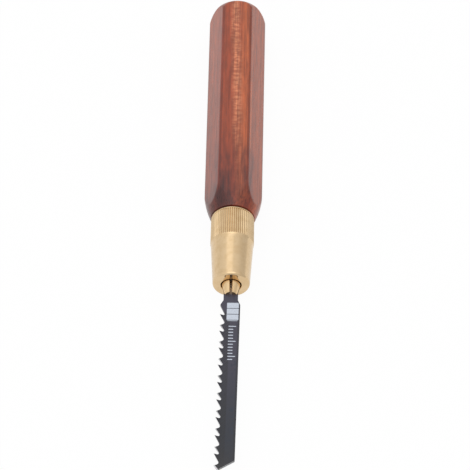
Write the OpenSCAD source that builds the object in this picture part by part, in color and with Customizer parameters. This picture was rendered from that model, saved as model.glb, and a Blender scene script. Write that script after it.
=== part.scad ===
// Fret saw: a short pull-cutting blade held by a four-jaw collet chuck in a six-sided wooden handle.
// Sizes are in millimetres. The saw lies on a flat of its handle, with +Z up.
// Its axis runs along Y: the blade points to -Y, and the teeth face -X.
// Places along the saw are measured from the front face of the wood, positive towards the blade.

/* [Handle] */
// Length of the wood from its front face to the top of the domed butt
handle_len = 123.7; // [100:0.1:150]
// Width across the flats at the front face
flats_front = 21.5; // [20:0.1:24]
// Width across the flats at the butt
flats_butt = 22.5; // [20:0.1:26]
// How far the long edges are eased back from their sharp corners
edge_ease = 0.22; // [0.1:0.02:0.6]
// Radius of the wood at its front face
shoulder_r = 9.3; // [8.6:0.1:10]
// Length of the turned shoulder behind the front face
shoulder_len = 11.2; // [8:0.1:16]
// Radius of the curve of the turned shoulder, seen from the side
shoulder_curve_r = 40; // [20:1:90]
// Length of the rounding at the butt
butt_round_len = 7.6; // [4:0.1:10]
// Radius of the butt's shallow domed end
butt_end_r = 8.8; // [6:0.1:10]
// Height of the shallow dome on the butt
butt_dome = 0.5; // [0.2:0.1:1.5]

/* [Chuck body] */
// Radius of the stem that is glued into the wood
stem_r = 5.5; // [5:0.1:6]
// Length of the stem
stem_len = 42; // [30:1:60]
// Width of each glue groove round the stem
groove_w = 1.6; // [1:0.1:2.5]
// Depth of the glue grooves
groove_depth = 0.4; // [0.2:0.1:0.8]
// Distance from one glue groove to the next
groove_step = 9; // [6:1:10]
// Number of glue grooves
groove_count = 4; // [1:1:4]
// Radius of the flange that seats on the wood
flange_r = 7.6; // [7.4:0.1:7.7]
// Thickness of the flange
flange_t = 2; // [1.5:0.1:2.4]
// Outer radius of the thread for the nut
thread_r = 7; // [6.9:0.05:7.2]
// Pitch of the thread
thread_pitch = 1.25; // [1:0.25:1.5]
// Place of the chuck body's front end
body_nose = 16; // [15:0.1:17]
// Length of the plain land in front of the thread
land_len = 1.8; // [1.5:0.1:3]
// Place of the floor of the hole that the collet slides in
socket_floor = -2; // [-6:0.1:0]

/* [Collet] */
// Place of the collet's rear end
collet_rear = 2; // [1:0.1:3]
// Place where the slits begin and the four jaws flex
slit_root = 6; // [5:0.1:8]
// Place of the tips of the jaws
collet_tip = 41; // [39:0.1:43]
// Radius of the collet's tail
tail_r = 4.4; // [4.1:0.05:4.6]
// Radius of the collet's head
head_r = 5.7; // [5.5:0.05:5.9]
// Angle of the long rear taper to the axis, in degrees
rear_taper = 8; // [7:0.5:10]
// Place where the rear taper leaves the tail
taper_start = 9.5; // [8:0.1:11]
// Angle of the short front taper to the axis, in degrees
front_taper = 30; // [25:1:35]
// Place where the front taper leaves the head
head_front = 29.5; // [28:0.1:30]
// Radius at the back of the nose that shows in front of the nut
nose_r = 3.9; // [3.7:0.05:4]
// Radius of the collet at its tips
tip_r = 2.7; // [2.4:0.05:3]
// Chamfer round the tips and round the rear end
collet_chamfer = 0.25; // [0.1:0.05:0.4]
// Radius of the hole along the middle of the collet
centre_hole_r = 1.2; // [0.8:0.1:1.6]
// Width of the upright slit between the left and right jaws
jaw_slit = 1.1; // [0.8:0.05:1.4]

/* [Chuck nut] */
// Gap between the wood and the rear rim of the nut
rim_gap = 0.4; // [0.2:0.1:0.8]
// Radius over the flutes of the grip band
grip_r = 9.1; // [8.9:0.05:9.5]
// Chamfer of the rear rim
rim_chamfer = 0.36; // [0.2:0.02:0.5]
// Place where the grip band's front chamfer begins
grip_end = 14.2; // [12:0.1:15]
// Length of the chamfer at the front of the grip band
grip_chamfer_len = 1; // [0.5:0.1:1.5]
// Number of flutes round the grip band
flute_count = 60; // [40:1:80]
// Depth of the flutes
flute_depth = 0.32; // [0.15:0.01:0.45]
// How far the flutes run into the front chamfer
flute_run = 0.25; // [0.1:0.05:0.4]
// Radius of the plain part where it meets the grip band
nut_waist_r = 8.85; // [8.6:0.05:8.9]
// Radius of the plain part at its front edge
nut_front_r = 7.7; // [7.4:0.05:8]
// Place of the nut's front edge, where the domed face begins
nut_front = 34.6; // [34:0.1:36]
// Rise of the domed front face
nut_dome = 1.4; // [1:0.1:2]
// Radius of the hole that the jaws come out of
nut_hole_r = 4.2; // [4.1:0.05:4.4]
// Chamfer round that hole
hole_chamfer = 0.2; // [0.1:0.05:0.3]

/* [Blade] */
// Thickness of the blade
blade_t = 1.25; // [1:0.05:1.5]
// Place of the rear end of the shank
shank_end = 25; // [24:0.1:26]
// Width of the nub at the rear end of the shank
nub_w = 5.6; // [5:0.1:6]
// Length of the nub
nub_len = 3; // [2:0.1:4]
// Corner chamfer of the nub
nub_chamfer = 0.6; // [0.3:0.1:1]
// Width over the two lugs of the shank
lug_w = 8; // [7.4:0.05:8.1]
// Length of the lugs
lug_len = 3.4; // [2:0.1:3.6]
// Length of the slope from the lugs to the neck
lug_slope = 0.9; // [0.5:0.1:1.5]
// Width of the neck
neck_w = 5.9; // [5:0.1:6.2]
// Place where the neck ends
neck_end = 43.8; // [43:0.1:45]
// Length of the sloping shoulders between the neck and the full width
blade_shoulder = 2.4; // [1.5:0.1:3]
// Distance from the shank's middle line to the tooth tips
tooth_side = 4.12; // [3.8:0.02:4.4]
// Distance from the shank's middle line to the back edge
back_side = 3.95; // [3.6:0.01:4.3]
// How far the toothed part leans towards its teeth, in degrees
blade_lean = 0.69; // [0:0.01:2]
// Place of the first tooth's tip
first_tooth = 51.36; // [50:0.01:53]
// Number of teeth
tooth_count = 18; // [8:1:24]
// Distance from tip to tip
tooth_pitch = 4.2; // [3.8:0.1:5]
// Depth of the teeth from their tips to the gullets
tooth_depth = 1.95; // [1.6:0.05:2.2]
// Radius of the round gullets
gullet_r = 0.65; // [0.5:0.05:0.75]
// Forward rake of the cutting faces, in degrees
tooth_rake = 8; // [0:1:12]
// How far the tips are bent out sideways, to the left and right in turn
tooth_set = 0.2; // [0:0.02:0.3]
// How far the back corner lies behind the last tooth's tip
end_cut_back = 1.5; // [0:0.1:3]
// Angle of the slanted end cut, in degrees
end_cut = 33.2; // [20:0.1:40]

/* [Fits] */
// Glue line round the stem in the wood
glue_gap = 0.1; // [0.05:0.01:0.15]
// Depth of the drilled hole beyond the end of the stem
drill_run = 1; // [0.5:0.1:3]
// Gap between the collet and the chuck body
seat_gap = 0.12; // [0.1:0.01:0.2]
// Gap between the collet's front taper and the nut
cone_gap = 0.35; // [0.3:0.01:0.4]
// Gap between the collet's head and the nut's bore
head_gap = 0.4; // [0.35:0.01:0.5]
// Gap between the crests of the thread and the nut's bore
thread_gap = 0.1; // [0.05:0.01:0.15]
// Gap between the flange and the nut
flange_gap = 0.3; // [0.2:0.01:0.4]
// Play of the blade in its slot
slot_play = 0.05; // [0.02:0.01:0.1]

/* [Hidden] */

$fn = 96;
// Segments in the large rounds of the wood
round_fn = 360;

// Six flats round the handle and six eased edges between them, each in three opposite pairs
face_pairs = 3;
pair_step = 180 / face_pairs;
half_corner = pair_step / 2;
// Segments in each curved stretch of an outline
arc_steps = 10;
gullet_steps = 6;
// How far cutting shapes run past what they cut
overrun = 1;
// Half angle of the drill point at the bottom of the hole in the wood
drill_half_angle = 59;
// Depth of the thread, its flat root, flank and flat crest, as shares of the pitch
thread_depth_share = 0.613;
root_share = 0.25;
flank_share = 0.3125;
crest_share = 0.125;
// Radius of the tight arc at the butt's rim, as a share of how far the rounding reaches in
butt_rim_share = 0.7;
// How far that arc stands past the long arc where they meet, so that they cross
arc_lap = 0.05;
// Width of a flute's mouth, as a share of the distance from one flute to the next
flute_share = 0.8;

// Points round an ellipse, with reach along and across the axis, from one angle to another
function ellipse_arc(across, along, reach_r, reach_a, from, to, steps) =
  [for (i = [0 : steps])
    let (t = from + (to - from) * i / steps)
    [across + reach_r * cos(t), along + reach_a * sin(t)]];

// Centre of the arc of a given radius from p to q, which bulges to the right of the way from p to q
function bulge_centre(p, q, radius) =
  let (
    d = norm(q - p),
    along = (q - p) / d,
    inward = [-along[1], along[0]]
  )
  (p + q) / 2 + inward * sqrt(radius * radius - d * d / 4);

// Width across the flats, across the sharp corners and across the eased edges, at a place along the handle
function flats_at(a) = flats_front - (flats_butt - flats_front) * a / handle_len;
function corners_at(a) = flats_at(a) / cos(half_corner);
function edges_at(a) = corners_at(a) - 2 * edge_ease;

// The chuck's tapers: the collet's own radius at a place, on its rear and on its front taper
function rear_cone(a) = tail_r + (a - taper_start) * tan(rear_taper);
function front_cone_place(r) = head_front + (head_r - r) / tan(front_taper);

butt_round_start = -(handle_len - butt_dome - butt_round_len);
stem_hole_r = stem_r + glue_gap;
stem_hole_len = stem_len + drill_run;
// A short stem has room for fewer glue grooves
grooves_on_stem = min(groove_count, floor((stem_len - groove_w) / groove_step));

thread_start = flange_t;
thread_turns = floor((body_nose - land_len - thread_start) / thread_pitch);
thread_root_r = thread_r - thread_depth_share * thread_pitch;
socket_r = tail_r + seat_gap;
socket_mouth_r = rear_cone(body_nose) + seat_gap;
// The nose takes a chamfer as far as its wall allows
body_chamfer = min(land_len / 4, (thread_root_r - socket_mouth_r) / 2);

blade_slot = blade_t + slot_play;
head_start = taper_start + (head_r - tail_r) / tan(rear_taper);
nose_start = front_cone_place(nose_r);

nut_rear = rim_gap;
nut_counterbore_r = flange_r + flange_gap;
nut_thread_bore_r = thread_r + thread_gap;
nut_thread_start = flange_t + 2 * flange_gap;
nut_step = body_nose + flange_gap;
nut_bore_r = head_r + head_gap;
nut_tip = nut_front + nut_dome;
nut_cone_rear = front_cone_place(nut_bore_r - cone_gap);
nut_cone_front = front_cone_place(nut_hole_r - cone_gap);
grip_root_r = grip_r - flute_depth;

// The blade's outline is drawn with X across the blade and Y along the saw
blade_start = neck_end + blade_shoulder;
gullet_line = tooth_depth - tooth_side;
set_angle = asin(tooth_set / tooth_depth);
last_tooth = first_tooth + (tooth_count - 1) * tooth_pitch;
back_corner = [back_side, last_tooth - end_cut_back];
end_cut_way = [-cos(end_cut), sin(end_cut)];

function tooth_tip(i) = [-tooth_side, first_tooth + i * tooth_pitch];
// The gullet behind each cutting face is a circle that touches the gullet line and the face
function gullet_centre(i) =
  let (x = gullet_line - gullet_r)
  [x, tooth_tip(i)[1] + (x + tooth_side) * tan(tooth_rake) - gullet_r / cos(tooth_rake)];
// Angle, seen from the gullet's centre, at which a tooth's back from point p runs into the gullet
function back_angle(p, i) =
  let (c = gullet_centre(i), d = norm(c - p))
  atan2(p[1] - c[1], p[0] - c[0]) + acos(gullet_r / d);
// Where that back touches the gullet
function back_end(p, i) =
  gullet_centre(i) + gullet_r * [cos(back_angle(p, i)), sin(back_angle(p, i))];
// The deepest point of a gullet
function gullet_floor(i) = gullet_centre(i) + [gullet_r, 0];
// The gullet's round stretches: from its deepest point to the face, and from a tooth's back to the deepest point
function gullet_front(i) =
  ellipse_arc(gullet_centre(i)[0], gullet_centre(i)[1], gullet_r, gullet_r, 0, 90 + tooth_rake, gullet_steps);
function gullet_rear(p, i) =
  ellipse_arc(gullet_centre(i)[0], gullet_centre(i)[1], gullet_r, gullet_r, back_angle(p, i), 0, gullet_steps);
// Where the way from p along u crosses the way from q along v
function crossing(p, u, q, v) =
  p + u * ((q[0] - p[0]) * v[1] - (q[1] - p[1]) * v[0]) / (u[0] * v[1] - u[1] * v[0]);
// The toothed part turns about the middle of the neck's end
function leaning(p) =
  let (x = p[0], y = p[1] - neck_end)
  [x * cos(blade_lean) - y * sin(blade_lean), neck_end + x * sin(blade_lean) + y * cos(blade_lean)];

last_tip = tooth_tip(tooth_count - 1);
last_back_way = back_end(last_tip, tooth_count) - last_tip;
blade_point = crossing(last_tip, last_back_way, back_corner, end_cut_way);
end_on_gullet_line = crossing(back_corner, end_cut_way, gullet_floor(0), [0, 1]);

// The saw rests on its lowest flat, centred along Y
blade_reach = leaning(blade_point)[1];
front_y = (blade_reach - handle_len) / 2;
axis_h = flats_butt / 2;

wood_colour = "#8a4526";
brass_colour = "#d9b878";
collet_colour = "#cdb070";
blade_colour = "#3f4147";

// Lays a shape drawn about Z along the saw, so that its Z points to the blade
module on_axis() {
  translate([0, front_y, axis_h]) rotate([90, 0, 0]) children();
}

// Lays a flat outline, drawn with Y along the saw, in the plane of the blade
module in_blade_plane() {
  translate([0, front_y, axis_h]) rotate([180, 0, 0]) children();
}

// A plate that narrows towards the front, with two opposite faces of the handle as its sides
module tapered_plate(front_w, rear_w) {
  rear = -handle_len - overrun;
  rotate([90, 0, 0])
    linear_extrude(2 * flats_butt, center = true)
      polygon([[-front_w / 2, overrun], [front_w / 2, overrun], [rear_w / 2, rear], [-rear_w / 2, rear]]);
}

// The planed length of wood, with its six flats and its six eased edges
module planed_wood() {
  rear = -handle_len - overrun;
  // the quarter turn puts a flat underneath
  rotate([0, 0, 90])
    intersection() {
      intersection_for(i = [0 : face_pairs - 1])
        rotate([0, 0, i * pair_step]) tapered_plate(flats_at(overrun), flats_at(rear));
      intersection_for(i = [0 : face_pairs - 1])
        rotate([0, 0, half_corner + i * pair_step]) tapered_plate(edges_at(overrun), edges_at(rear));
    }
}

// Outline of the turned butt: a shallow dome, a tight arc at its rim and a long arc into the edges
module butt_outline() {
  end_place = butt_round_start - butt_round_len;
  side_r = corners_at(butt_round_start) / 2;
  reach = side_r - butt_end_r;
  rim_r = butt_rim_share * min(reach, butt_round_len);
  rise = butt_round_len - rim_r;
  long_r = (reach * reach + rise * rise - rim_r * rim_r) / (2 * (reach - rim_r));
  dome_r = (butt_end_r * butt_end_r + butt_dome * butt_dome) / (2 * butt_dome);
  rim_centre = [butt_end_r, end_place + rim_r];
  long_centre = [side_r - long_r, butt_round_start];
  arcs_meet = long_centre + (rim_centre - long_centre) * long_r / (long_r - rim_r);
  intersection() {
    translate([0, dome_r - handle_len]) circle(r = dome_r, $fn = round_fn);
    union() {
      translate([0, -handle_len - overrun]) square([butt_end_r, handle_len]);
      translate(rim_centre) circle(r = rim_r + arc_lap);
      translate([0, arcs_meet[1]]) square([flats_butt, overrun - arcs_meet[1]]);
    }
    union() {
      translate(long_centre) circle(r = long_r, $fn = round_fn);
      translate([0, butt_round_start]) square([flats_butt, overrun - butt_round_start]);
    }
  }
}

// Outline of the turned shoulder: one arc, as far back as its widest place
module shoulder_outline() {
  shoulder_end = [edges_at(-shoulder_len) / 2, -shoulder_len];
  centre = bulge_centre(shoulder_end, [shoulder_r, 0], shoulder_curve_r);
  translate(centre) circle(r = shoulder_curve_r, $fn = round_fn);
  translate([0, -handle_len - overrun]) square([flats_butt, handle_len + overrun + centre[1]]);
}

// The turned ends of the wood. Between them the shape clears the planed faces.
module turned_ends() {
  rotate_extrude()
    intersection() {
      butt_outline();
      shoulder_outline();
      translate([0, -handle_len - overrun]) square([flats_butt, handle_len + overrun]);
    }
}

module handle() {
  color(wood_colour)
    on_axis()
      difference() {
        intersection() {
          planed_wood();
          turned_ends();
        }
        rotate_extrude()
          polygon([[0, -stem_hole_len - stem_hole_r / tan(drill_half_angle)], [stem_hole_r, -stem_hole_len],
            [stem_hole_r, overrun], [0, overrun]]);
      }
}

// The brass body: a grooved stem, a flange, the thread for the nut and the tapered socket for the collet
module chuck_body() {
  color(brass_colour)
    on_axis()
      rotate_extrude()
        polygon(concat(
          [[0, -stem_len], [stem_r - groove_depth, -stem_len], [stem_r, groove_depth - stem_len]],
          [for (i = [grooves_on_stem : -1 : 1])
            let (a = -i * groove_step)
            each [[stem_r, a - groove_w / 2], [stem_r - groove_depth, a - groove_w / 2],
              [stem_r - groove_depth, a + groove_w / 2], [stem_r, a + groove_w / 2]]],
          [[stem_r, 0], [flange_r, 0], [flange_r, flange_t]],
          [for (i = [0 : thread_turns - 1])
            let (a = thread_start + i * thread_pitch, rise = a + root_share * thread_pitch)
            each [[thread_root_r, a], [thread_root_r, rise], [thread_r, rise + flank_share * thread_pitch],
              [thread_r, rise + (flank_share + crest_share) * thread_pitch]]],
          [[thread_root_r, thread_start + thread_turns * thread_pitch], [thread_root_r, body_nose - body_chamfer],
            [thread_root_r - body_chamfer, body_nose]],
          [[socket_mouth_r, body_nose], [socket_r, taper_start], [socket_r, socket_floor],
            [0, socket_floor]]
        ));
}

// The whole turned form of the collet, before it is slit
module turned_collet() {
  rotate_extrude()
    polygon([
      [centre_hole_r, collet_rear],
      [tail_r - collet_chamfer, collet_rear],
      [tail_r, collet_rear + collet_chamfer],
      [tail_r, taper_start],
      [head_r, head_start],
      [head_r, head_front],
      [nose_r, nose_start],
      [tip_r, collet_tip - collet_chamfer],
      [tip_r - collet_chamfer, collet_tip],
      [centre_hole_r, collet_tip]
    ]);
}

// The unslit ring at the rear of the collet
module collet_base() {
  color(collet_colour)
    on_axis()
      intersection() {
        turned_collet();
        cylinder(r = head_r + overrun, h = slit_root);
      }
}

// One of the four jaws, in the quarter on the sides given as -1 or 1
module jaw(side_x, side_z) {
  reach = head_r + overrun;
  along = collet_tip + overrun - slit_root;
  x = side_x > 0 ? jaw_slit / 2 : -reach;
  z = side_z > 0 ? blade_slot / 2 : -reach;
  color(collet_colour)
    on_axis()
      intersection() {
        turned_collet();
        translate([x, z, slit_root]) cube([reach - jaw_slit / 2, reach - blade_slot / 2, along]);
      }
}

module jaw_upper_left() {
  jaw(-1, 1);
}

module jaw_upper_right() {
  jaw(1, 1);
}

module jaw_lower_left() {
  jaw(-1, -1);
}

module jaw_lower_right() {
  jaw(1, -1);
}

// The turned outside of the nut: chamfered rear rim, grip band, plain taper and domed front
module turned_nut() {
  rotate_extrude()
    polygon(concat(
      [[0, nut_rear], [grip_r - rim_chamfer, nut_rear], [grip_r, nut_rear + rim_chamfer], [grip_r, grip_end],
        [nut_waist_r, grip_end + grip_chamfer_len]],
      ellipse_arc(nut_hole_r, nut_front, nut_front_r - nut_hole_r, nut_dome, 0, 90, arc_steps),
      [[0, nut_tip]]
    ));
}

// One V-shaped flute, cut along the grip band from its rear rim
module flute() {
  reach = grip_r + overrun;
  half_mouth = 180 * flute_share / flute_count;
  // the flanks run on outwards past the band at the slope that gives the mouth its width at the surface
  half_reach = grip_r * sin(half_mouth) * (reach - grip_root_r) / (grip_r - grip_root_r);
  translate([0, 0, nut_rear - overrun])
    linear_extrude(grip_end + flute_run - nut_rear + overrun)
      polygon([[grip_root_r, 0], [reach, half_reach], [reach, -half_reach]]);
}

module chuck_nut() {
  color(brass_colour)
    on_axis()
      difference() {
        turned_nut();
        for (i = [0 : flute_count - 1]) rotate([0, 0, 360 * i / flute_count]) flute();
        rotate_extrude()
          polygon([
            [0, nut_rear - overrun],
            [nut_counterbore_r, nut_rear - overrun],
            [nut_counterbore_r, nut_thread_start],
            [nut_thread_bore_r, nut_thread_start + nut_counterbore_r - nut_thread_bore_r],
            [nut_thread_bore_r, nut_step],
            [nut_bore_r, nut_step],
            [nut_bore_r, nut_cone_rear],
            [nut_hole_r, nut_cone_front],
            [nut_hole_r, nut_tip - hole_chamfer],
            [nut_hole_r + overrun + hole_chamfer, nut_tip + overrun],
            [0, nut_tip + overrun]
          ]);
      }
}

// One side of the shank's outline, from its rear end to the end of the neck
function shank_side(side) = [
  [side * (nub_w / 2 - nub_chamfer), shank_end],
  [side * nub_w / 2, shank_end + nub_chamfer],
  [side * nub_w / 2, shank_end + nub_len],
  [side * lug_w / 2, shank_end + nub_len],
  [side * lug_w / 2, shank_end + nub_len + lug_len],
  [side * neck_w / 2, shank_end + nub_len + lug_len + lug_slope],
  [side * neck_w / 2, neck_end]
];

// The shank and the strip of the blade behind its gullets
module blade_plate() {
  corner = [-tooth_side, blade_start];
  tooth_row = concat(
    [corner],
    gullet_rear(corner, 0),
    [end_on_gullet_line, back_corner, [back_side, blade_start]]
  );
  right = shank_side(1);
  linear_extrude(blade_t, center = true)
    polygon(concat(
      shank_side(-1),
      [for (p = tooth_row) leaning(p)],
      [for (i = [len(right) - 1 : -1 : 0]) right[i]]
    ));
}

// One tooth's outline, standing on the gullet line
function tooth_outline(i) = concat(
  gullet_front(i),
  [tooth_tip(i)],
  i < tooth_count - 1 ? gullet_rear(tooth_tip(i), i + 1) : [blade_point, end_on_gullet_line]
);

// One tooth, bent out to its side about the foot of the face that it leans away from
module tooth(i) {
  side = i % 2 == 0 ? 1 : -1;
  translate([gullet_line, 0, side * blade_t / 2])
    rotate([0, -side * set_angle, 0])
      translate([-gullet_line, 0, -side * blade_t / 2])
        linear_extrude(blade_t, center = true) polygon(tooth_outline(i));
}

module saw_blade() {
  color(blade_colour)
    in_blade_plane() {
      blade_plate();
      translate([0, neck_end, 0])
        rotate([0, 0, blade_lean])
          translate([0, -neck_end, 0])
            for (i = [0 : tooth_count - 1]) tooth(i);
    }
}

handle();
chuck_body();
collet_base();
jaw_upper_left();
jaw_upper_right();
jaw_lower_left();
jaw_lower_right();
chuck_nut();
saw_blade();
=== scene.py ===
import math

import bmesh
import bpy
from mathutils import Matrix, Vector


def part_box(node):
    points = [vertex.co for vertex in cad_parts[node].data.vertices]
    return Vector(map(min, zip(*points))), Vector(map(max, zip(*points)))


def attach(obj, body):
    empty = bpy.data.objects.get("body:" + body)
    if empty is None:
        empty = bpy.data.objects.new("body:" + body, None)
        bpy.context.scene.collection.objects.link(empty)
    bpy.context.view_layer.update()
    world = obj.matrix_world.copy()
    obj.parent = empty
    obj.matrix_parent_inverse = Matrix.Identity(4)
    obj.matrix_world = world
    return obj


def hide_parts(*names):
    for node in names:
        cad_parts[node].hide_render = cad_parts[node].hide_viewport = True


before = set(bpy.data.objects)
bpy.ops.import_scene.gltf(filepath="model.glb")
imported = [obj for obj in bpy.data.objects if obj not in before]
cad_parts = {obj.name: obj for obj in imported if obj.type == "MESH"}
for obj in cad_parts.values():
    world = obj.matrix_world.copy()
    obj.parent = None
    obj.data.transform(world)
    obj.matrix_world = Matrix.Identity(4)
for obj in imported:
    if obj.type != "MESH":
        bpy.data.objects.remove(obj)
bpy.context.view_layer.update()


# Studio: the saw lies on a pale table under a large soft light, before a white background, and the camera looks
# down along it from the blade's end. The saw lies along Y, with its blade to -Y. Sizes are in millimetres, and
# places along the saw count from the front face of the wood, positive towards the blade.
scene = bpy.context.scene
MM = 0.001
wood_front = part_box("handle")[0].y / MM
axis_height = (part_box("chuck_nut")[0].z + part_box("chuck_nut")[1].z) / 2 / MM
view_elevation = math.radians(50.085)
view_azimuth = math.radians(-1.501)
view_roll = math.radians(-0.595)
view_distance = 815.4
picture_px = 470
focal_px = 1931.8
wood_front_px = (232.761, 219.114)
sensor_width = 36
nearest_seen = 10


def on_saw(across, along, above):
    """The place in the frame, in metres, of a point given from the saw's axis in millimetres."""
    return Vector((across, wood_front - along, axis_height + above)) * MM


def node(tree, kind, inputs=None, **settings):
    """Adds a node with its settings. Each input is given a value or linked to another node's output."""
    new = tree.nodes.new(kind)
    for name, value in settings.items():
        setattr(new, name, value)
    for key, value in (inputs or {}).items():
        if isinstance(value, bpy.types.NodeSocket):
            tree.links.new(value, new.inputs[key])
        else:
            new.inputs[key].default_value = value
    return new


def sum_up(tree, operation, *values):
    """The output of one sum in a material or a tree of geometry."""
    return node(tree, "ShaderNodeMath", dict(enumerate(values)), operation=operation).outputs[0]


def product(tree, value, *others):
    """The product of two or more values."""
    for other in others:
        value = sum_up(tree, "MULTIPLY", value, other)
    return value


def ranged(tree, value, low, high, to_low=0.0, to_high=1.0, curve="SMOOTHSTEP"):
    """A value carried from one range to another and held at its ends."""
    return node(tree, "ShaderNodeMapRange", {
        "Value": value, "From Min": low, "From Max": high, "To Min": to_low, "To Max": to_high},
        interpolation_type=curve).outputs["Result"]


def separated(tree, vector):
    """The three parts of a place or a direction."""
    return node(tree, "ShaderNodeSeparateXYZ", {0: vector}).outputs


looking = Vector((
    math.sin(view_azimuth) * math.cos(view_elevation),
    math.cos(view_azimuth) * math.cos(view_elevation),
    -math.sin(view_elevation)))
level_right = Vector((math.cos(view_azimuth), -math.sin(view_azimuth), 0))
level_up = level_right.cross(looking)
view_right = math.cos(view_roll) * level_right + math.sin(view_roll) * level_up
view_up = math.cos(view_roll) * level_up - math.sin(view_roll) * level_right
right_of_centre = (wood_front_px[0] - picture_px / 2) * view_distance / focal_px
above_centre = (picture_px / 2 - wood_front_px[1]) * view_distance / focal_px

camera = bpy.data.objects.new("camera", bpy.data.cameras.new("camera"))
scene.collection.objects.link(camera)
camera.data.sensor_width = sensor_width
camera.data.lens = focal_px / picture_px * sensor_width
camera.data.clip_start = nearest_seen * MM
stand = on_saw(0, 0, 0) - (view_distance * looking + right_of_centre * view_right + above_centre * view_up) * MM
camera.matrix_world = Matrix.Translation(stand) @ Matrix((view_right, view_up, -looking)).transposed().to_4x4()
scene.camera = camera
scene.view_settings.view_transform = "Standard"

floor_reach = 6000
floor_drop = 0.2
floor_mesh = bpy.data.meshes.new("floor")
floor_mesh.from_pydata(
    [Vector((x * floor_reach, y * floor_reach, -floor_drop)) * MM for x, y in ((-1, -1), (1, -1), (1, 1), (-1, 1))],
    [], [(0, 1, 2, 3)])
floor = bpy.data.objects.new("floor", floor_mesh)
scene.collection.objects.link(floor)

# The table is matt paper to the light that falls on it, and nearly white where the camera or the metal sees it
table_paper = (0.9, 0.9, 0.9, 1)
plain_white = (1, 1, 1, 1)
whiteness = 0.95
table = bpy.data.materials.new("pale_table")
table.use_nodes = True
tree = table.node_tree
tree.nodes.clear()
paper = node(tree, "ShaderNodeBsdfDiffuse", {"Color": table_paper})
white = node(tree, "ShaderNodeEmission", {"Color": plain_white, "Strength": 1})
path = node(tree, "ShaderNodeLightPath").outputs
seen = sum_up(tree, "MAXIMUM", path["Is Camera Ray"], path["Is Glossy Ray"])
seen = sum_up(tree, "MAXIMUM", seen, path["Is Transmission Ray"])
mixed = node(tree, "ShaderNodeMixShader", {
    0: product(tree, seen, whiteness), 1: paper.outputs[0], 2: white.outputs[0]})
node(tree, "ShaderNodeOutputMaterial", {"Surface": mixed.outputs[0]})
floor_mesh.materials.append(table)

# The room is brighter overhead, has a bright patch near its zenith, and is a little brighter on the left
horizon_light = 0.83
overhead_light = 0.16
zenith_light = 0.65
left_light = 0.12
world = bpy.data.worlds.new("soft_room")
world.use_nodes = True
tree = world.node_tree
tree.nodes.clear()
way = separated(tree, node(tree, "ShaderNodeTexCoord").outputs["Generated"])
level = sum_up(tree, "MULTIPLY_ADD", ranged(tree, way["Z"], 0.4, 0.8), overhead_light, horizon_light)
level = sum_up(tree, "MULTIPLY_ADD", ranged(tree, way["Z"], 0.84, 0.98), zenith_light, level)
level = sum_up(tree, "MULTIPLY_ADD", way["X"], -left_light, level)
sky = node(tree, "ShaderNodeBackground", {"Color": plain_white, "Strength": level})
node(tree, "ShaderNodeOutputWorld", {"Surface": sky.outputs[0]})
scene.world = world

# One large lamp stands high behind the handle
softbox_way = Vector((-0.16, 0.64, 0.73))
softbox_distance = 1200
softbox_size = 620
softbox_power = 0.36
softbox_aim = 20
softbox = bpy.data.objects.new("softbox", bpy.data.lights.new("softbox", "AREA"))
softbox.data.size = softbox_size * MM
softbox.data.energy = softbox_power
softbox_place = on_saw(0, softbox_aim, 0) + softbox_way.normalized() * softbox_distance * MM
softbox.matrix_world = Matrix.Translation(softbox_place) @ softbox_way.to_track_quat("Z", "Y").to_matrix().to_4x4()
scene.collection.objects.link(softbox)


# Handle: one length of reddish-brown, close-grained hardwood, planed to six sides, its long edges eased.
# Its shoulder and butt are turned, a hole is drilled for the chuck's stem, and it is lacquered satin.
handle_len = (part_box("handle")[1].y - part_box("handle")[0].y) / MM
flats_front = 21.5
flats_butt = 22.5
edge_radius = 1.42
shoulder_r = 9.3
shoulder_len = 11.2
shoulder_curve_r = 40
edge_ease = 0.22
butt_round_len = 7.6
butt_end_r = 8.8
butt_dome = 0.5
rim_radius = 0.25
hole_r = 5.6
hole_len = 43
hole_edge = 0.2
drill_slope = math.tan(math.radians(59))
corner_blend = 0.12
past_corners = 2
half_side = math.radians(30)


def flat_distance(along):
    """Distance from the axis to the planed flats."""
    return (flats_front - (flats_butt - flats_front) * along / handle_len) / 2


def six_sided(along, share):
    """Angle from the middle of a flat, and radius there, for a share from 0 at the middle to 1 at the corner.
    The flat takes the first half of the shares, and the eased edge the second."""
    distance = flat_distance(along)
    centre = (distance - edge_radius) / math.cos(half_side)
    flat_end = math.atan((distance - edge_radius) * math.tan(half_side) / distance)
    if share <= 0.5:
        angle = flat_end * share * 2
        return angle, distance / math.cos(angle)
    angle = flat_end + (half_side - flat_end) * (share * 2 - 1)
    off = half_side - angle
    return angle, centre * math.cos(off) + math.sqrt(edge_radius ** 2 - (centre * math.sin(off)) ** 2)


def soft_least(a, b, blend):
    """The lesser of two lengths, with the change from one to the other rounded over a short blend."""
    share = min(1, max(0, 0.5 + 0.5 * (b - a) / blend))
    return b + (a - b) * share - blend * share * (1 - share)


def spaced(start, end, steps):
    """Values in even steps from one to another, with both ends."""
    return [start + (end - start) * i / steps for i in range(steps + 1)]


def arc(centre_r, centre_along, reach_r, reach_along, start, end, steps):
    """Points of an ellipse's arc, as radius and place along the saw, between two angles in degrees."""
    return [Vector((round(centre_r + reach_r * math.cos(t), 6), centre_along + reach_along * math.sin(t)))
            for t in map(math.radians, spaced(start, end, steps))]


def new_piece(name, mesh):
    """A piece from a bmesh, with its doubled points joined and its faces turned outwards."""
    data = bpy.data.meshes.new(name)
    bmesh.ops.remove_doubles(mesh, verts=mesh.verts, dist=MM / 1000)
    bmesh.ops.recalc_face_normals(mesh, faces=mesh.faces)
    mesh.to_mesh(data)
    mesh.free()
    piece = bpy.data.objects.new(name, data)
    scene.collection.objects.link(piece)
    return piece


def smooth(piece, sharp_angle=32):
    """Shades a piece smooth, apart from the edges that bend more than the angle given in degrees."""
    piece.data.shade_smooth()
    piece.data.set_sharp_from_angle(angle=math.radians(sharp_angle))


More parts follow.
